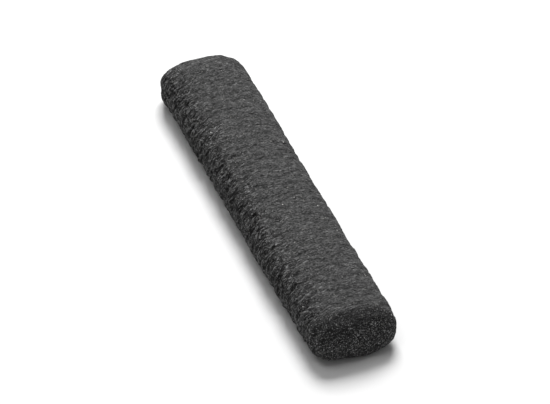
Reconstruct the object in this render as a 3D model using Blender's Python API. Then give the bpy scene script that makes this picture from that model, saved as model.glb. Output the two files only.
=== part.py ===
"""Charcoal briquette: a stick of pressed charcoal powder with a domed back and blunt ends.

Metres, +Z up. The stick lies along Y, its width along X, on the flat of its underside at z = 0.
"""

import bmesh
import bpy
from mathutils import Vector, noise

# Size of the stick
LENGTH = 0.1040
WIDTH = 0.0222
THICKNESS = 0.0124

# Section: two half ovals that meet at the widest height, the upper one rounder than the lower
WAIST_HEIGHT = 0.44 * THICKNESS
BACK_SQUARENESS = 2.55
UNDERSIDE_SQUARENESS = 3.1

# Ends: how far in the rounding reaches, how blunt they are, and how far the far one runs askew
END_DEPTH = 0.0070
END_SQUARENESS = 3.9
NEAR_TOP_SQUARENESS = 2.1
FAR_TOP_SQUARENESS = 2.7
FAR_END_SKEW = -0.09

# Faces of the cage, along the stick and round it
SEGMENTS_LONG = 144
SEGMENTS_WIDE = 13
SEGMENTS_HIGH = 7

# Relief: depths, and wavelengths across (X, Z) and along (Y)
RIDGE_DEPTH = 0.00042
RIDGE_WAVES = Vector((0.0032, 0.0011, 0.0032))
RIDGE_STEP = (-0.22, 0.10)
SWAY = 0.0016
SWAY_WAVES = Vector((0.0042, 0.0080, 0.0042))
SWELL_DEPTH = 0.00022
SWELL_WAVES = Vector((0.015, 0.019, 0.015))
GRIT_DEPTH = 0.00042
GRIT_WAVES = Vector((0.0034, 0.0034, 0.0034))
GRIT_SHARE_ON_SIDES = 0.12
TEAR_DEPTH = 0.0017
TEAR_WAVES = Vector((0.0050, 0.0017, 0.0050))
TEAR_THRESHOLD = 0.04
BEND = 0.0005
BEND_WAVE = 0.060
SEED = Vector((7.3, 2.9, 5.1))

# How far a face is turned where the ends and the torn left flank begin and where they are in full
END_TURN = (0.35, 0.80)
FLANK_TURN = (0.30, 0.85)

# Flat of the underside: a long uneven oval that the relief fades into
FLAT_HALF_WIDTH = 0.0042
FLAT_HALF_LENGTH = 0.040
FLAT_FADE = 3.0
FLAT_UNEVENNESS = 0.8
FLAT_WAVES = Vector((0.009, 0.014, 0.009))

CHARCOAL_COLOUR = (0.045, 0.044, 0.043, 1.0)
CHARCOAL_ROUGHNESS = 0.9


def clear_scene():
    for obj in list(bpy.data.objects):
        bpy.data.objects.remove(obj, do_unlink=True)


def smooth_step(low, high, value):
    """0 below low, 1 above high, and an even rise between them."""
    share = min(max((value - low) / (high - low), 0.0), 1.0)
    return share * share * (3.0 - 2.0 * share)


def waves(point, lengths, shift):
    """Noise from -1 to 1 whose bumps are as long as lengths in X, Y and Z."""
    scaled = Vector((point.x / lengths.x, point.y / lengths.y, point.z / lengths.z))
    return noise.noise(scaled + SEED * shift)


def cut_edges(cage, axis, segments):
    """Cuts every edge of the cage that runs along one axis into equal lengths."""
    edges = [e for e in cage.edges if abs((e.verts[0].co - e.verts[1].co)[axis]) > 0.5]
    bmesh.ops.subdivide_edges(cage, edges=edges, cuts=segments - 1, use_grid_fill=True)


def stick_point(cube_point):
    """Where a point of the cube from -1 to 1 lies on the smooth stick."""
    across, along, up = cube_point
    ring = max(abs(across), abs(up))
    upper = up > 0.0
    half_height = THICKNESS - WAIST_HEIGHT if upper else WAIST_HEIGHT
    squareness = BACK_SQUARENESS if upper else UNDERSIDE_SQUARENESS
    oval = (abs(across) ** squareness + abs(up) ** squareness) ** (1.0 / squareness)
    scale = ring / oval if oval > 0.0 else 0.0

    straight = 0.5 * LENGTH - END_DEPTH
    distance = 0.5 * LENGTH * abs(along)
    into_end = max(distance - straight, 0.0) / END_DEPTH
    far = along > 0.0
    top_form = FAR_TOP_SQUARENESS if far else NEAR_TOP_SQUARENESS
    top_share = smooth_step(0.0, 1.0, up / ring) if ring > 0.0 else 0.0
    end_form = END_SQUARENESS + (top_form - END_SQUARENESS) * top_share
    blunt = (ring**end_form + into_end**end_form) ** (1.0 / end_form)
    inset = max(ring, into_end) / blunt
    x = 0.5 * WIDTH * across * scale * inset
    y = min(distance, straight) + into_end * END_DEPTH * inset
    z = WAIST_HEIGHT + half_height * up * scale * inset
    skew = FAR_END_SKEW * x * into_end if far else 0.0
    return Vector((x, y + skew if far else -y, z))


def relief(point, normal):
    """Height over the smooth stick: ridges across it, grit on its ends, torn pits on its left flank."""
    end_share = smooth_step(*END_TURN, abs(normal.y))
    flank_share = smooth_step(*FLANK_TURN, -normal.x) * (1.0 - end_share)
    valley = 1.0 - smooth_step(*RIDGE_STEP, waves(point, RIDGE_WAVES, 1.0))
    grit = waves(point, GRIT_WAVES, 2.0) * GRIT_DEPTH * max(end_share, GRIT_SHARE_ON_SIDES)
    swell = waves(point, SWELL_WAVES, 3.0) * SWELL_DEPTH
    torn = max(waves(point, TEAR_WAVES, 4.0) - TEAR_THRESHOLD, 0.0)
    return grit + swell - valley * RIDGE_DEPTH * (1.0 - end_share) - torn * TEAR_DEPTH * flank_share


def sway(point, normal):
    """How far a point moves along the stick, so that the ridges and the rows of faces run in wavy lines."""
    return SWAY * waves(point, SWAY_WAVES, 5.0) * (1.0 - smooth_step(*END_TURN, abs(normal.y)))


def press_flat(point):
    """The point with the flat of the underside pressed into it, and nothing below z = 0."""
    oval = (point.x / FLAT_HALF_WIDTH) ** 4 + (point.y / FLAT_HALF_LENGTH) ** 4
    uneven = oval * (1.0 + FLAT_UNEVENNESS * waves(point, FLAT_WAVES, 6.0))
    flatness = 1.0 - smooth_step(1.0, FLAT_FADE, uneven)
    under = point.z < 0.5 * WAIST_HEIGHT
    height = max(point.z, 0.0)
    return Vector((point.x, point.y, height * (1.0 - flatness) if under else height))


def make_stick():
    cage = bmesh.new()
    bmesh.ops.create_cube(cage, size=2.0)
    cut_edges(cage, 1, SEGMENTS_LONG)
    cut_edges(cage, 0, SEGMENTS_WIDE)
    cut_edges(cage, 2, SEGMENTS_HIGH)
    for vertex in cage.verts:
        vertex.co = stick_point(vertex.co)
    cage.normal_update()
    moved = [v.co + v.normal * relief(v.co, v.normal) for v in cage.verts]
    swayed = [sway(v.co, v.normal) for v in cage.verts]
    for vertex, point, shift in zip(cage.verts, moved, swayed):
        point.x += BEND * noise.noise(Vector((0.0, point.y / BEND_WAVE, 0.0)) + SEED)
        point.y += shift
        vertex.co = press_flat(point)

    low_x, high_x = min(v.co.x for v in cage.verts), max(v.co.x for v in cage.verts)
    low_y, high_y = min(v.co.y for v in cage.verts), max(v.co.y for v in cage.verts)
    middle = Vector((0.5 * (low_x + high_x), 0.5 * (low_y + high_y), 0.0))
    bmesh.ops.translate(cage, verts=cage.verts, vec=-middle)
    bmesh.ops.triangulate(cage, faces=cage.faces, quad_method="SHORT_EDGE")
    mesh = bpy.data.meshes.new("briquette")
    cage.to_mesh(mesh)
    cage.free()
    mesh.shade_smooth()
    return mesh


def charcoal():
    material = bpy.data.materials.new("pressed charcoal")
    material.use_nodes = True
    shader = material.node_tree.nodes["Principled BSDF"]
    shader.inputs["Base Color"].default_value = CHARCOAL_COLOUR
    shader.inputs["Roughness"].default_value = CHARCOAL_ROUGHNESS
    shader.inputs["Metallic"].default_value = 0.0
    return material


clear_scene()
stick_mesh = make_stick()
stick_mesh.materials.append(charcoal())
briquette = bpy.data.objects.new("briquette", stick_mesh)
collection = bpy.data.collections.new("charcoal_briquette")
bpy.context.scene.collection.children.link(collection)
collection.objects.link(briquette)
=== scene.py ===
# %% [markdown]
# # A charcoal briquette
#
# The real thing is a stick of charcoal powder and starch, pushed through a die while damp,
# cut to length and dried. It has a domed back, a flat underside, two blunt ends, and a skin
# like shark leather: the powder tears a little at the die, all the way along.
#
# The solid from the CAD step already has the size, the domed section, the bent outline and
# the main ridges. This lesson gives it a fine skin, the look of pressed charcoal, a pale
# floor, soft light and a camera.

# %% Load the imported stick
import math

import bpy
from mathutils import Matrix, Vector


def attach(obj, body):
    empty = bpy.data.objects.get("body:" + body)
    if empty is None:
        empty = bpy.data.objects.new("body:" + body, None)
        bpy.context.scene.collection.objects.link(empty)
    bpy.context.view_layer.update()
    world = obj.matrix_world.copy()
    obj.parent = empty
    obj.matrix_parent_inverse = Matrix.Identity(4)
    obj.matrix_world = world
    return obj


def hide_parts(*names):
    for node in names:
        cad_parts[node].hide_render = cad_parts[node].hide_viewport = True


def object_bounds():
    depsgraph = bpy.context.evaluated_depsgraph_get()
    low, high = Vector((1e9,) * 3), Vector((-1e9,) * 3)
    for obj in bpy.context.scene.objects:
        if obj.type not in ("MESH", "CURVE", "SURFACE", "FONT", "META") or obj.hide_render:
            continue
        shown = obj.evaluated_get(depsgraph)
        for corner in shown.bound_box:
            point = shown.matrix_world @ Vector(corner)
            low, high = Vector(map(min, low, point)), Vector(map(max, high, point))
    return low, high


MM_PER_METRE = 1000.0

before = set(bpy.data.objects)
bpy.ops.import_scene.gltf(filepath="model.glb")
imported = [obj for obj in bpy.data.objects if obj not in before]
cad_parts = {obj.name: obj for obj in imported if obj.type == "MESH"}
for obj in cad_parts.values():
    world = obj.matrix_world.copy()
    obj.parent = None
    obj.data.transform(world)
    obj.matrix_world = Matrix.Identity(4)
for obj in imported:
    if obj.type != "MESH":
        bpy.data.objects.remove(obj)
cad_low, cad_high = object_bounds()
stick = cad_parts["briquette"]
print("the solid is", [round(MM_PER_METRE * side, 1) for side in cad_high - cad_low], "mm")

# %% [markdown]
# ## A copy to work on
#
# The CAD solid is never changed, so the skin starts as a copy of its mesh. A box could be
# shaped again from nothing, but the copy keeps the true outline and the true ridges. It is
# made of loose triangles, so its corners are merged first, and the triangles are joined to
# quads, because subdivision runs more evenly over quads.

# %% Copy, merge and join to quads
MERGE_DISTANCE = 1e-6
QUAD_ANGLE = math.radians(60)
QUAD_SHAPE = math.radians(75)

bpy.ops.object.select_all(action="DESELECT")
skin = bpy.data.objects.new("briquette_skin", stick.data.copy())
bpy.context.scene.collection.objects.link(skin)
skin.select_set(True)
bpy.context.view_layer.objects.active = skin
bpy.ops.mesh.customdata_custom_splitnormals_clear()
bpy.ops.object.mode_set(mode="EDIT")
bpy.ops.mesh.select_all(action="SELECT")
bpy.ops.mesh.remove_doubles(threshold=MERGE_DISTANCE)
bpy.ops.mesh.tris_convert_to_quads(face_threshold=QUAD_ANGLE, shape_threshold=QUAD_SHAPE)
bpy.ops.object.mode_set(mode="OBJECT")
bpy.ops.object.shade_smooth()
print("the copy has", len(skin.data.polygons), "faces")

# %% [markdown]
# ## Subdivide
#
# The solid's mesh has rows of points that run along its wavy ridges. Subdivision rounds the
# rows into soft ridges without moving them, and brings the points to about a fifth of a
# millimetre apart along the stick, fine enough to carry the tears.

# %% Subdivide
FINE_LEVELS = 2


def finish_modifier(piece, name):
    """Applies one modifier of the piece, so that its mesh holds the result."""
    bpy.ops.object.select_all(action="DESELECT")
    piece.select_set(True)
    bpy.context.view_layer.objects.active = piece
    bpy.ops.object.modifier_apply(modifier=name)


refine = skin.modifiers.new("refine", "SUBSURF")
refine.levels = FINE_LEVELS
refine.render_levels = FINE_LEVELS
finish_modifier(skin, "refine")
print("the fine skin has", len(skin.data.polygons), "faces")

# %% [markdown]
# ## The torn skin
#
# Damp powder drags on the die and tears in short wavy lines across the stick, a bit over a
# millimetre apart. Sculpting them by hand would take thousands of strokes, and a bump map
# would leave the outline smooth. Here geometry nodes move the points of the mesh itself.
# Noise that is long across the stick and short along it gives the ridges, the thin lines
# where another noise crosses its middle value give the tears, and fine even noise gives grit.
#
# Geometry nodes and shader nodes are added the same way: a kind, what goes into its sockets,
# and its own settings. A socket takes a plain value or the output of another node, so one
# small function does for both trees. It hands back the node's first output.

# %% Start the relief tree
def add(tree, kind, inputs=(), **settings):
    """Adds a node, fills its sockets by number or name, and returns its first output."""
    node = tree.nodes.new(kind)
    for name, value in settings.items():
        setattr(node, name, value)
    for socket, value in inputs.items() if isinstance(inputs, dict) else enumerate(inputs):
        if isinstance(value, bpy.types.NodeSocket):
            tree.links.new(value, node.inputs[socket])
        else:
            node.inputs[socket].default_value = value
    return node.outputs[0] if node.outputs else node


relief = bpy.data.node_groups.new("torn skin", "GeometryNodeTree")
relief.interface.new_socket("Geometry", in_out="INPUT", socket_type="NodeSocketGeometry")
relief.interface.new_socket("Geometry", in_out="OUTPUT", socket_type="NodeSocketGeometry")
skin_in = add(relief, "NodeGroupInput")
normal = add(relief, "GeometryNodeInputNormal")
position = add(relief, "GeometryNodeInputPosition")
inputs = {0: position, "Scale": MM_PER_METRE}
place = add(relief, "ShaderNodeVectorMath", inputs, operation="SCALE")
print("the tree starts with", len(relief.nodes), "nodes")

# %% [markdown]
# The relief differs over the stick. The cut ends are grainy with no ridges, and the left
# flank is torn deeper, because the stick dragged there. Shares from 0 to 1 say where each
# is: the ends by how far along a point lies, the flank by the way the surface faces. The end
# zones lie a little askew, and the near one reaches further in than the far one; they carry
# the grain of the ends and also painted shade. The upper edge of the ends, where the surface
# still faces up, has a share of its own, which only carries painted shade.

# %% Where the ends are
END_ZONE = (4.9, 2.6)  # mm in from the end, where the grain begins and where it is full
END_SLANT = 0.14  # mm along for each mm across
NEAR_MORE = 1.8  # mm that the near zone reaches further in, and the far one less

half_length = MM_PER_METRE * cad_high.y
end_range = [half_length - inwards for inwards in END_ZONE]
across, along = add(relief, "ShaderNodeSeparateXYZ", [place]).node.outputs[:2]
along = add(relief, "ShaderNodeMath", [across, END_SLANT, along], operation="MULTIPLY_ADD")
along = add(relief, "ShaderNodeMath", [along, NEAR_MORE], operation="SUBTRACT")
along = add(relief, "ShaderNodeMath", [along], operation="ABSOLUTE")
end_share = add(relief, "ShaderNodeMapRange", [along, *end_range], interpolation_type="SMOOTHSTEP")
side_share = add(relief, "ShaderNodeMath", [1.0, end_share], operation="SUBTRACT")
print("the near end begins", round(end_range[0] - NEAR_MORE, 1), "mm from the middle")

# %% Where the torn left flank is
LEFT_TURN = (-0.05, -0.80)

facing = add(relief, "ShaderNodeSeparateXYZ", [normal])
left_turn = add(relief, "ShaderNodeMapRange", [facing, *LEFT_TURN], interpolation_type="SMOOTHSTEP")
left_share = add(relief, "ShaderNodeMath", [left_turn, side_share], operation="MULTIPLY")
print("the flank is torn in full where the surface faces left by", -LEFT_TURN[1])

# %% Where the upper edge of the ends is, which gets painted shade
SHADED_EDGE_TURN = (0.35, 0.80)

facing_up = facing.node.outputs["Z"]
shaded_edge_turn = add(relief, "ShaderNodeMapRange", [facing_up, *SHADED_EDGE_TURN], interpolation_type="SMOOTHSTEP")
shaded_edge_share = add(relief, "ShaderNodeMath", [shaded_edge_turn, end_share], operation="MULTIPLY")
print("the edge counts in full where the surface faces up by", SHADED_EDGE_TURN[1])

# %% [markdown]
# Every pattern on the stick has a real size. The bumps of noise are about one unit long, so
# space is stretched before it goes in: multiplied by these shares, a bump comes out as long
# as the given millimetres in X, Y and Z. A shift keeps two patterns from sharing their bumps.
# Noise runs from 0 to 1, mostly close to its middle value.
#
# The first noise only moves places along the stick. Every pattern that reads the moved places
# runs in wavy lines instead of straight ones.

# %% Sway, which makes every line wavy
SWAY_SIZE = (2.4, 3.2, 2.4)
SWAY = 1.9
SHIFT_WAY = (1.0, 1.7, 0.6)
SOFT_NOISE = {"Scale": 1.0, "Detail": 2.0}
MIDDLE = 0.5


def per_bump(size_mm):
    """What a place in millimetres is multiplied by, for bumps of size_mm."""
    return [1.0 / side for side in size_mm]


def shifted(seed):
    """A shift in space that only one pattern has."""
    return [seed * part for part in SHIFT_WAY]


in_bumps = [place, per_bump(SWAY_SIZE), shifted(3.1)]
spot = add(relief, "ShaderNodeVectorMath", in_bumps, operation="MULTIPLY_ADD")
sway = add(relief, "ShaderNodeTexNoise", {"Vector": spot, **SOFT_NOISE})
sway = add(relief, "ShaderNodeMath", [sway, SWAY, -MIDDLE * SWAY], operation="MULTIPLY_ADD")
sway_along = add(relief, "ShaderNodeCombineXYZ", {"Y": sway})
swayed = add(relief, "ShaderNodeVectorMath", [place, sway_along], operation="ADD")
print("lines sway up to", MIDDLE * SWAY, "mm to either side")

# %% Fine ridges across the stick
RIDGE_SIZE = (2.4, 0.66, 2.4)
RIDGE_DEPTH = 0.08
RIDGE_STEP = (0.36, 0.52)

in_bumps = [swayed, per_bump(RIDGE_SIZE), shifted(8.3)]
spot = add(relief, "ShaderNodeVectorMath", in_bumps, operation="MULTIPLY_ADD")
ridges = add(relief, "ShaderNodeTexNoise", {"Vector": spot, **SOFT_NOISE})
steps = [ridges, *RIDGE_STEP, -RIDGE_DEPTH, 0.0]
ridges = add(relief, "ShaderNodeMapRange", steps, interpolation_type="SMOOTHSTEP")
ridges = add(relief, "ShaderNodeMath", [ridges, side_share], operation="MULTIPLY")
print("fine ridges stand", RIDGE_DEPTH, "mm over their valleys")

# %% [markdown]
# A tear is thin and sharp, so it isn't a bump of noise but a contour line: wherever smooth
# noise passes its middle value there is a line, and only a narrow band along it is cut. A
# second noise picks the patches where tears show, so that no line runs all the way across.

# %% Tears between the ridges
TEAR_SIZE = (3.0, 1.30, 3.0)
TEAR_DEPTH = 0.14
TEAR_WIDTH = 0.045

in_bumps = [swayed, per_bump(TEAR_SIZE), shifted(15.7)]
spot = add(relief, "ShaderNodeVectorMath", in_bumps, operation="MULTIPLY_ADD")
off_line = add(relief, "ShaderNodeTexNoise", {"Vector": spot, "Scale": 1.0, "Detail": 1.0})
off_line = add(relief, "ShaderNodeMath", [off_line, MIDDLE], operation="SUBTRACT")
off_line = add(relief, "ShaderNodeMath", [off_line], operation="ABSOLUTE")
steps = [off_line, TEAR_WIDTH, 0.0]
tears = add(relief, "ShaderNodeMapRange", steps, interpolation_type="SMOOTHSTEP")
print("tears are cut", TEAR_DEPTH, "mm deep")

# %% Patches where tears show
TEAR_PATCH_SIZE = (2.2, 2.0, 2.2)
TEAR_PATCH_EDGE = (0.46, 0.58)

in_bumps = [place, per_bump(TEAR_PATCH_SIZE), shifted(21.0)]
spot = add(relief, "ShaderNodeVectorMath", in_bumps, operation="MULTIPLY_ADD")
patch = add(relief, "ShaderNodeTexNoise", {"Vector": spot, **SOFT_NOISE})
steps = [patch, *TEAR_PATCH_EDGE]
patch = add(relief, "ShaderNodeMapRange", steps, interpolation_type="SMOOTHSTEP")
tears = add(relief, "ShaderNodeMath", [tears, patch], operation="MULTIPLY")
tears = add(relief, "ShaderNodeMath", [tears, side_share], operation="MULTIPLY")
print("patches of tears are about", TEAR_PATCH_SIZE[1], "mm long")

# %% Gashes down the left flank
GASH_SIZE = (3.2, 0.70, 3.2)
GASH_DEPTH = 0.38
GASH_EDGE = (0.50, 0.66)

in_bumps = [swayed, per_bump(GASH_SIZE), shifted(31.9)]
spot = add(relief, "ShaderNodeVectorMath", in_bumps, operation="MULTIPLY_ADD")
gashes = add(relief, "ShaderNodeTexNoise", {"Vector": spot, **SOFT_NOISE})
steps = [gashes, *GASH_EDGE]
gashes = add(relief, "ShaderNodeMapRange", steps, interpolation_type="SMOOTHSTEP")
gashes = add(relief, "ShaderNodeMath", [gashes, left_share], operation="MULTIPLY")
print("gashes are cut", GASH_DEPTH, "mm deep")

# %% Fine grit everywhere
GRIT_SIZE = (0.60, 0.60, 0.60)
GRIT_DEPTH = 0.07

in_bumps = [place, per_bump(GRIT_SIZE), shifted(44.0)]
spot = add(relief, "ShaderNodeVectorMath", in_bumps, operation="MULTIPLY_ADD")
grit = add(relief, "ShaderNodeTexNoise", {"Vector": spot, **SOFT_NOISE})
spread = [grit, 2.0 * GRIT_DEPTH, -GRIT_DEPTH]
grit = add(relief, "ShaderNodeMath", spread, operation="MULTIPLY_ADD")
print("grit is", 2.0 * GRIT_DEPTH, "mm from crest to hollow")

# %% Coarse grit on the cut ends
END_GRIT_SIZE = (0.62, 0.62, 0.62)
END_GRIT_DEPTH = 0.26
END_GRIT_MIDDLE = 1.15

in_bumps = [place, per_bump(END_GRIT_SIZE), shifted(52.0)]
spot = add(relief, "ShaderNodeVectorMath", in_bumps, operation="MULTIPLY_ADD")
inputs = {"Vector": spot, "Scale": 1.0, "Detail": 3.0, "Roughness": 0.6}
end_grit = add(relief, "ShaderNodeTexNoise", inputs)
spread = [end_grit, 2.0 * END_GRIT_DEPTH, -END_GRIT_MIDDLE * END_GRIT_DEPTH]
end_grit = add(relief, "ShaderNodeMath", spread, operation="MULTIPLY_ADD")
end_grit = add(relief, "ShaderNodeMath", [end_grit, end_share], operation="MULTIPLY")
print("end grit is", 2.0 * END_GRIT_DEPTH, "mm from crest to hollow")

# %% [markdown]
# The sum of these is one height in millimetres, and the points move by it along their
# normals. Nothing goes under the floor: crests of the underside end on it, which is how the
# stick lies flat. A limit of a metre to the left and to the front never acts.

# %% Move the points
FLOOR_LIMIT = (-1.0, -1.0, 0.0)

total = add(relief, "ShaderNodeMath", [tears, -TEAR_DEPTH, ridges], operation="MULTIPLY_ADD")
total = add(relief, "ShaderNodeMath", [gashes, -GASH_DEPTH, total], operation="MULTIPLY_ADD")
total = add(relief, "ShaderNodeMath", [total, grit], operation="ADD")
total = add(relief, "ShaderNodeMath", [total, end_grit], operation="ADD")
metres = add(relief, "ShaderNodeMath", [total, 1.0 / MM_PER_METRE], operation="MULTIPLY")
move = add(relief, "ShaderNodeVectorMath", {0: normal, "Scale": metres}, operation="SCALE")
moved = add(relief, "ShaderNodeVectorMath", [position, move], operation="ADD")
moved = add(relief, "ShaderNodeVectorMath", [moved, FLOOR_LIMIT], operation="MAXIMUM")
print("the tree has", len(relief.nodes), "nodes now")

# %% [markdown]
# Less light reaches a hollow, and the material paints that shade in, so it has to know
# where one is. The tree measures that on the finished shape: the blurred place of a point is
# the middle of its neighbours, and a point that lies deeper than that middle is in a hollow.
# The result is kept in the mesh as an attribute, beside the three shares and the swayed places.

# %% Measure the hollows
HOLLOW_BLUR = 14
HOLLOW_DEPTH = 0.16

inputs = {"Value": moved, "Iterations": HOLLOW_BLUR}
blurred = add(relief, "GeometryNodeBlurAttribute", inputs, data_type="FLOAT_VECTOR")
to_middle = add(relief, "ShaderNodeVectorMath", [blurred, moved], operation="SUBTRACT")
below = add(relief, "ShaderNodeVectorMath", [to_middle, normal], operation="DOT_PRODUCT")
below = below.node.outputs["Value"]
hollow = add(relief, "ShaderNodeMapRange", [below, 0.0, HOLLOW_DEPTH / MM_PER_METRE])
print("a hollow is as dark as it gets at", HOLLOW_DEPTH, "mm")

# %% Keep the attributes and apply the tree
KEPT = (("hollow", hollow, "FLOAT"), ("end", end_share, "FLOAT"), ("edge", shaded_edge_share, "FLOAT"),
        ("left", left_share, "FLOAT"), ("swayed", swayed, "FLOAT_VECTOR"))

marked = skin_in
for name, value, kind in KEPT:
    inputs = {"Geometry": marked, "Name": name, "Value": value}
    marked = add(relief, "GeometryNodeStoreNamedAttribute", inputs, data_type=kind, domain="POINT")
placed = add(relief, "GeometryNodeSetPosition", {"Geometry": marked, "Position": moved})
add(relief, "NodeGroupOutput", [placed])

tear_skin = skin.modifiers.new("torn skin", "NODES")
tear_skin.node_group = relief
finish_modifier(skin, "torn skin")
depths = [point.value for point in skin.data.attributes["hollow"].data]
print("relief on", len(depths), "points, mean hollow", round(sum(depths) / len(depths), 2))

# %% [markdown]
# ## Pressed charcoal powder
#
# Charcoal is nearly pure carbon: it gives back a few hundredths of the light, evenly in
# every colour. Milled and pressed it is matt, because light is lost between the grains. A
# flat dark grey would look like rubber. What tells the eye that this is powder is that each
# grain has a tone of its own, that grains lie in short dashes where the die dragged them,
# and that a few specks of ash are pale. Hollows, the torn flank and ends, and the upper edge
# of the ends also get painted shade, and a few grains get painted glints.

# %% Colours from hex
def linear(hex_colour):
    """A screen colour such as #303030 as the linear values that nodes use."""
    parts = [int(hex_colour[i : i + 2], 16) / 255 for i in (1, 3, 5)]
    return [c / 12.92 if c <= 0.04045 else ((c + 0.055) / 1.055) ** 2.4 for c in parts] + [1.0]


CARBON = linear("#303030")[:3]
print("carbon gives back", round(CARBON[0], 3), "of the light")

# %% Where on the stick a point is
charcoal = bpy.data.materials.new("pressed charcoal powder")
charcoal.use_nodes = True
tree = charcoal.node_tree
tree.nodes.clear()
here = add(tree, "ShaderNodeTexCoord").node.outputs["Object"]
here_mm = add(tree, "ShaderNodeVectorMath", {0: here, "Scale": MM_PER_METRE}, operation="SCALE")
swayed_here = add(tree, "ShaderNodeAttribute", attribute_name="swayed").node.outputs["Vector"]
hollow_here = add(tree, "ShaderNodeAttribute", attribute_name="hollow").node.outputs["Fac"]
end_here = add(tree, "ShaderNodeAttribute", attribute_name="end").node.outputs["Fac"]
left_here = add(tree, "ShaderNodeAttribute", attribute_name="left").node.outputs["Fac"]
shaded_edge_here = add(tree, "ShaderNodeAttribute", attribute_name="edge").node.outputs["Fac"]
side_here = add(tree, "ShaderNodeMath", [1.0, end_here], operation="SUBTRACT")
torn_here = add(tree, "ShaderNodeMath", [end_here, left_here], operation="MAXIMUM")
print("the mesh keeps", [name for name, value, kind in KEPT if name in skin.data.attributes])

# %% [markdown]
# A Voronoi texture cuts space into cells, each with a random colour of its own. With cells as
# large as grains of charcoal, that random value is the tone of one grain, with a crisp edge
# to the next, which soft noise can't give. Most real grains are under 0.2 mm, too fine to
# show here, so the cells are as large as the coarser grains, a third of a millimetre.

# %% The tone of each grain
GRAIN_CELL = 0.34
GRAIN_TONE = 1.0

inputs = {"Vector": here_mm, "Scale": 1.0 / GRAIN_CELL, "Randomness": 1.0}
grain_cells = add(tree, "ShaderNodeTexVoronoi", inputs, voronoi_dimensions="3D").node.outputs
grain_values = add(tree, "ShaderNodeSeparateColor", [grain_cells["Color"]]).node.outputs
spread = [grain_values[0], GRAIN_TONE, -MIDDLE * GRAIN_TONE]
grains = add(tree, "ShaderNodeMath", spread, operation="MULTIPLY_ADD")
print("grains are", GRAIN_CELL, "mm across")

# %% Clumps of powder between the grains
CLUMP_SIZE = (0.38, 0.30, 0.38)
CLUMP_TONE = 1.2
CRISP_NOISE = {"Scale": 1.0, "Detail": 2.0, "Roughness": 0.6}

in_bumps = [here_mm, per_bump(CLUMP_SIZE), shifted(61.0)]
spot = add(tree, "ShaderNodeVectorMath", in_bumps, operation="MULTIPLY_ADD")
clumps = add(tree, "ShaderNodeTexNoise", {"Vector": spot, **CRISP_NOISE})
spread = [clumps, CLUMP_TONE, -MIDDLE * CLUMP_TONE]
clumps = add(tree, "ShaderNodeMath", spread, operation="MULTIPLY_ADD")
grains = add(tree, "ShaderNodeMath", [grains, clumps], operation="ADD")
print("clumps are", CLUMP_SIZE[1], "mm long")

# %% More contrast where the powder is torn
FLANK_TONE = 2.0
END_TONE = 0.7

contrast = add(tree, "ShaderNodeMath", [left_here, FLANK_TONE, 1.0], operation="MULTIPLY_ADD")
contrast = add(tree, "ShaderNodeMath", [end_here, END_TONE, contrast], operation="MULTIPLY_ADD")
grains = add(tree, "ShaderNodeMath", [grains, contrast], operation="MULTIPLY")
print("grains differ", 1.0 + FLANK_TONE, "times as much on the flank as on the back")

# %% [markdown]
# The die drags the grains into short dashes that follow the ridges, so the dashes read the
# swayed places from the mesh. They are faint on the back and strong down the torn flank. The
# cut ends have crumbs instead. Dashes and crumbs are about 0.3 mm wide, coarser than most
# real ones, so that they show.

# %% Dashes that follow the ridges
DASH_SIZE = (1.5, 0.32, 1.5)
DASH_TONE = 4.0
FLANK_DASH_TONE = 10.0

in_bumps = [swayed_here, per_bump(DASH_SIZE), shifted(63.0)]
spot = add(tree, "ShaderNodeVectorMath", in_bumps, operation="MULTIPLY_ADD")
dashes = add(tree, "ShaderNodeTexNoise", {"Vector": spot, **CRISP_NOISE})
dashes = add(tree, "ShaderNodeMath", [dashes, MIDDLE], operation="SUBTRACT")
spread = [left_here, FLANK_DASH_TONE - DASH_TONE, DASH_TONE]
dash_tone = add(tree, "ShaderNodeMath", spread, operation="MULTIPLY_ADD")
dash_tone = add(tree, "ShaderNodeMath", [dash_tone, side_here], operation="MULTIPLY")
dashes = add(tree, "ShaderNodeMath", [dashes, dash_tone], operation="MULTIPLY")
grains = add(tree, "ShaderNodeMath", [grains, dashes], operation="ADD")
print("dashes are", DASH_SIZE[0], "mm long and", DASH_SIZE[1], "mm wide")

# %% Crumbs on the cut ends
CRUMB_SIZE = (0.30, 0.30, 0.30)
CRUMB_TONE = 15.0

in_bumps = [here_mm, per_bump(CRUMB_SIZE), shifted(65.0)]
spot = add(tree, "ShaderNodeVectorMath", in_bumps, operation="MULTIPLY_ADD")
crumbs = add(tree, "ShaderNodeTexNoise", {"Vector": spot, **CRISP_NOISE})
spread = [crumbs, CRUMB_TONE, -MIDDLE * CRUMB_TONE]
crumbs = add(tree, "ShaderNodeMath", spread, operation="MULTIPLY_ADD")
crumbs = add(tree, "ShaderNodeMath", [crumbs, end_here], operation="MULTIPLY")
grains = add(tree, "ShaderNodeMath", [grains, crumbs], operation="ADD")
print("crumbs are", CRUMB_SIZE[0], "mm across")

# %% [markdown]
# A pale grain may be ten times lighter than the gap beside it, so tones are multiplied, not
# added: a power turns the even steps of the noise into such ratios. The palest grains have a
# limit, lower on the sides than on the ends, or torn powder would look salted. Faint patches
# multiply the same tone, and so does painted shade: in hollows, on the torn flank and ends,
# and on the upper edge of the ends.

# %% Patches, and painted shade in hollows, on torn places and on the upper edge of the ends
GRAIN_CONTRAST = 3.2
PALEST_GRAIN = 1.75
PALEST_END_GRAIN = 2.8
PATCH_SIZE = (9.0, 13.0, 9.0)
PATCH_TONE = 0.15
PAINTED_HOLLOW_SHADE = 0.46
PAINTED_TORN_SHADE = 0.50
PAINTED_EDGE_SHADE = 0.64

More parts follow.
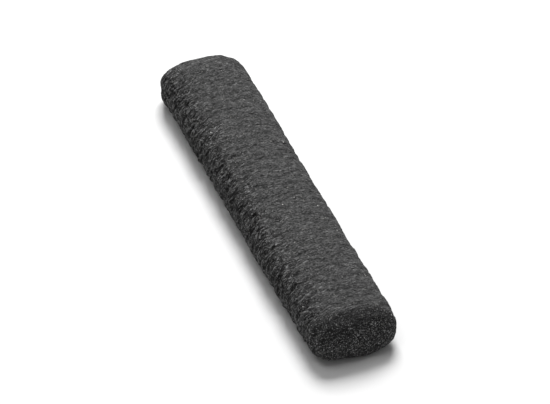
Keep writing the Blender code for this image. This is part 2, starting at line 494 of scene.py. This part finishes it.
spread = [end_here, PALEST_END_GRAIN - PALEST_GRAIN, PALEST_GRAIN]
palest = add(tree, "ShaderNodeMath", spread, operation="MULTIPLY_ADD")
grains = add(tree, "ShaderNodeMath", [grains, palest], operation="MINIMUM")
tone = add(tree, "ShaderNodeMath", [GRAIN_CONTRAST, grains], operation="POWER")
in_bumps = [here_mm, per_bump(PATCH_SIZE), shifted(71.0)]
spot = add(tree, "ShaderNodeVectorMath", in_bumps, operation="MULTIPLY_ADD")
faint = add(tree, "ShaderNodeTexNoise", {"Vector": spot, **SOFT_NOISE})
spread = [faint, PATCH_TONE, 1.0 - MIDDLE * PATCH_TONE]
faint = add(tree, "ShaderNodeMath", spread, operation="MULTIPLY_ADD")
# Painted shade: the tone is darker in hollows, on the torn flank and ends, and on the upper edge of
# the ends.
hollow_painted_shade = add(tree, "ShaderNodeMath", [hollow_here, -PAINTED_HOLLOW_SHADE, 1.0], operation="MULTIPLY_ADD")
torn_painted_shade = add(tree, "ShaderNodeMath", [torn_here, -PAINTED_TORN_SHADE, 1.0], operation="MULTIPLY_ADD")
edge_painted_shade = add(tree, "ShaderNodeMath", [shaded_edge_here, -PAINTED_EDGE_SHADE, 1.0], operation="MULTIPLY_ADD")
for share in (faint, hollow_painted_shade, torn_painted_shade, edge_painted_shade):
    tone = add(tree, "ShaderNodeMath", [tone, share], operation="MULTIPLY")
carbon = add(tree, "ShaderNodeVectorMath", {0: CARBON, "Scale": tone}, operation="SCALE")
times_middle = round(GRAIN_CONTRAST**PALEST_GRAIN, 1)
print("the palest grain of the sides is", times_middle, "times the middle tone")

# %% [markdown]
# Specks of ash and glints of grain faces are points, so they come from cells too: each cell
# of a coarser Voronoi has one point, and only the few cells whose random value is high get a
# speck. Real specks are about 0.1 mm, and are drawn at 0.4 mm so that they show.

# %% Ash specks
SPECK_CELL = 1.15
SPECK_REACH = 0.20
SPECK_CORE = 0.5
SPECK_CHANCE = 0.970
ASH = "#A9A8A5"

inputs = {"Vector": here_mm, "Scale": 1.0 / SPECK_CELL, "Randomness": 1.0}
speck_cells = add(tree, "ShaderNodeTexVoronoi", inputs, voronoi_dimensions="3D").node.outputs
edge = SPECK_REACH / SPECK_CELL
near_point = add(tree, "ShaderNodeMapRange", [speck_cells["Distance"], edge, SPECK_CORE * edge])
chance = add(tree, "ShaderNodeSeparateColor", [speck_cells["Color"]])
chosen = add(tree, "ShaderNodeMath", [chance, SPECK_CHANCE], operation="GREATER_THAN")
specks = add(tree, "ShaderNodeMath", [near_point, chosen], operation="MULTIPLY")
inputs = {0: specks, 6: carbon, 7: linear(ASH)}
speckled = add(tree, "ShaderNodeMix", inputs, data_type="RGBA").node.outputs[2]
print("one cell in", round(1.0 / (1.0 - SPECK_CHANCE)), "has a speck")

# %% Glints of loose grains, painted into the base colour as highlights
GLINT_CHANCE = 0.994
GLINT_MORE = 0.02
GLINT_SHARE = 0.7
GLINT = "#5C5B58"

# A glint is a painted highlight: a paler grey put into the base colour of a few grains, more of them
# on the torn flank and ends.
rare = add(tree, "ShaderNodeMath", [torn_here, -GLINT_MORE, GLINT_CHANCE], operation="MULTIPLY_ADD")
glints = add(tree, "ShaderNodeMath", [grain_values[1], rare], operation="GREATER_THAN")
glints = add(tree, "ShaderNodeMath", [glints, GLINT_SHARE], operation="MULTIPLY")
inputs = {0: glints, 6: speckled, 7: linear(GLINT)}
glinting = add(tree, "ShaderNodeMix", inputs, data_type="RGBA").node.outputs[2]
print("one grain in", round(1.0 / (1.0 - GLINT_CHANCE)), "glints on the back")

# %% [markdown]
# The mesh holds relief down to half a millimetre. Finer ridges and single grains only change
# how light falls, so they are a bump: it costs no points and tilts the shading alone.

# %% Finest ridges and grains as bump
FINE_RIDGE_SIZE = (1.4, 0.36, 1.4)
FINE_GRAIN_SIZE = (0.42, 0.38, 0.42)
FINE_DEPTH = 0.00036
FINE_SIDES = 0.55
FINE_ENDS = 1.8

in_bumps = [swayed_here, per_bump(FINE_RIDGE_SIZE), shifted(83.0)]
spot = add(tree, "ShaderNodeVectorMath", in_bumps, operation="MULTIPLY_ADD")
fine_ridges = add(tree, "ShaderNodeTexNoise", {"Vector": spot, **SOFT_NOISE})
in_bumps = [here_mm, per_bump(FINE_GRAIN_SIZE), shifted(91.0)]
spot = add(tree, "ShaderNodeVectorMath", in_bumps, operation="MULTIPLY_ADD")
inputs = {"Vector": spot, "Scale": 1.0, "Detail": 3.0, "Roughness": 0.65}
fine_grains = add(tree, "ShaderNodeTexNoise", inputs)
spread = [fine_grains, FINE_SIDES, fine_ridges]
fine_sides = add(tree, "ShaderNodeMath", spread, operation="MULTIPLY_ADD")
fine_ends = add(tree, "ShaderNodeMath", [fine_grains, FINE_ENDS], operation="MULTIPLY")
inputs = {0: end_here, 2: fine_sides, 3: fine_ends}
fine = add(tree, "ShaderNodeMix", inputs, data_type="FLOAT")
bump = add(tree, "ShaderNodeBump", {"Height": fine, "Strength": 1.0, "Distance": FINE_DEPTH})
print("the bump is", MM_PER_METRE * FINE_DEPTH, "mm high")

# %% [markdown]
# Carbon has an IOR of about 1.6 or more, but pores swallow most of its gloss, so its specular
# level is under half the usual, and it is rough all over. The palest grains are broken faces,
# a little smoother than the dust. To the eye this is matt black with no shine at all, only a
# faint greyness where light grazes it.

# %% The charcoal shader
DUST_ROUGHNESS = 0.95
GRAIN_ROUGHNESS = 0.7
CARBON_IOR = 1.6
CARBON_SPECULAR = 0.225

steps = [grain_values[0], 0.0, 1.0, DUST_ROUGHNESS, GRAIN_ROUGHNESS]
rough = add(tree, "ShaderNodeMapRange", steps)
inputs = {"Base Color": glinting, "Roughness": rough, "IOR": CARBON_IOR}
inputs.update({"Specular IOR Level": CARBON_SPECULAR, "Metallic": 0.0, "Normal": bump})
shader = add(tree, "ShaderNodeBsdfPrincipled", inputs)
add(tree, "ShaderNodeOutputMaterial", [shader])
skin.data.materials.clear()
skin.data.materials.append(charcoal)
print("the material has", len(tree.nodes), "nodes")

# %% [markdown]
# ## Ride on the frame
#
# The skin stands for the CAD solid, which keeps the collision. It rides on the one body.

# %% Tie the skin to the frame
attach(skin, "root")
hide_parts("briquette")
print(skin.name, "replaces", stick.name)

# %% [markdown]
# ## Floor, light and camera
#
# A wide pale floor, so that nothing competes with a small dark object. The main light is a
# large soft panel above and behind, which grazes the back of the stick and draws every
# ridge. The sky is pale, so the shadows stay soft.

# %% Floor
FLOOR_SIDE = 6.0
PAPER = "#CDCDCD"
PAPER_ROUGHNESS = 0.9

bpy.ops.object.select_all(action="DESELECT")
bpy.ops.mesh.primitive_plane_add(size=FLOOR_SIDE, location=(0, 0, 0))
floor = bpy.context.active_object
floor.name = "floor"
paper = bpy.data.materials.new("matt white paper")
paper.use_nodes = True
paper_shader = paper.node_tree.nodes["Principled BSDF"]
paper_shader.inputs["Base Color"].default_value = linear(PAPER)
paper_shader.inputs["Roughness"].default_value = PAPER_ROUGHNESS
floor.data.materials.append(paper)
print("the floor is", FLOOR_SIDE, "m wide")

# %% Soft panels
TARGET = Vector((0.0, 0.0, 0.006))


def panel(name, place, side, watts):
    """A square soft light that faces the stick."""
    data = bpy.data.lights.new(name, "AREA")
    data.size = side
    data.energy = watts
    light = bpy.data.objects.new(name, data)
    light.location = place
    light.rotation_euler = (TARGET - Vector(place)).to_track_quat("-Z", "Y").to_euler()
    bpy.context.scene.collection.objects.link(light)
    print(name, "gives", watts, "W")


panel("back panel", (0.22, 0.50, 0.78), 0.45, 15.5)
panel("top panel", (-0.25, 0.0, 0.9), 0.5, 2.0)

# %% Pale sky
SKY = "#FFFFFF"
SKY_STRENGTH = 0.28

world = bpy.data.worlds.new("pale studio")
world.use_nodes = True
world.node_tree.nodes["Background"].inputs["Color"].default_value = linear(SKY)
world.node_tree.nodes["Background"].inputs["Strength"].default_value = SKY_STRENGTH
bpy.context.scene.world = world
bpy.context.scene.view_settings.view_transform = "Standard"
print("the sky gives", SKY_STRENGTH)

# %% [markdown]
# The camera looks down from the left along the stick, through a long lens, so that the near
# end is hardly larger than the far end.

# %% Camera
AZIMUTH = math.radians(-22.5)
ELEVATION = math.radians(43.1)
DISTANCE = 1.274
LENS = 348.0
FAR_CLIP = 20.0

level = math.cos(ELEVATION)
back = Vector((math.sin(AZIMUTH) * level, -math.cos(AZIMUTH) * level, math.sin(ELEVATION)))
camera_data = bpy.data.cameras.new("camera")
camera_data.lens = LENS
camera_data.clip_end = FAR_CLIP
camera = bpy.data.objects.new("camera", camera_data)
camera.location = TARGET + back * DISTANCE
camera.rotation_euler = (-back).to_track_quat("-Z", "Y").to_euler()
bpy.context.scene.collection.objects.link(camera)
bpy.context.scene.camera = camera
print("the camera is at", [round(side, 3) for side in camera.location])
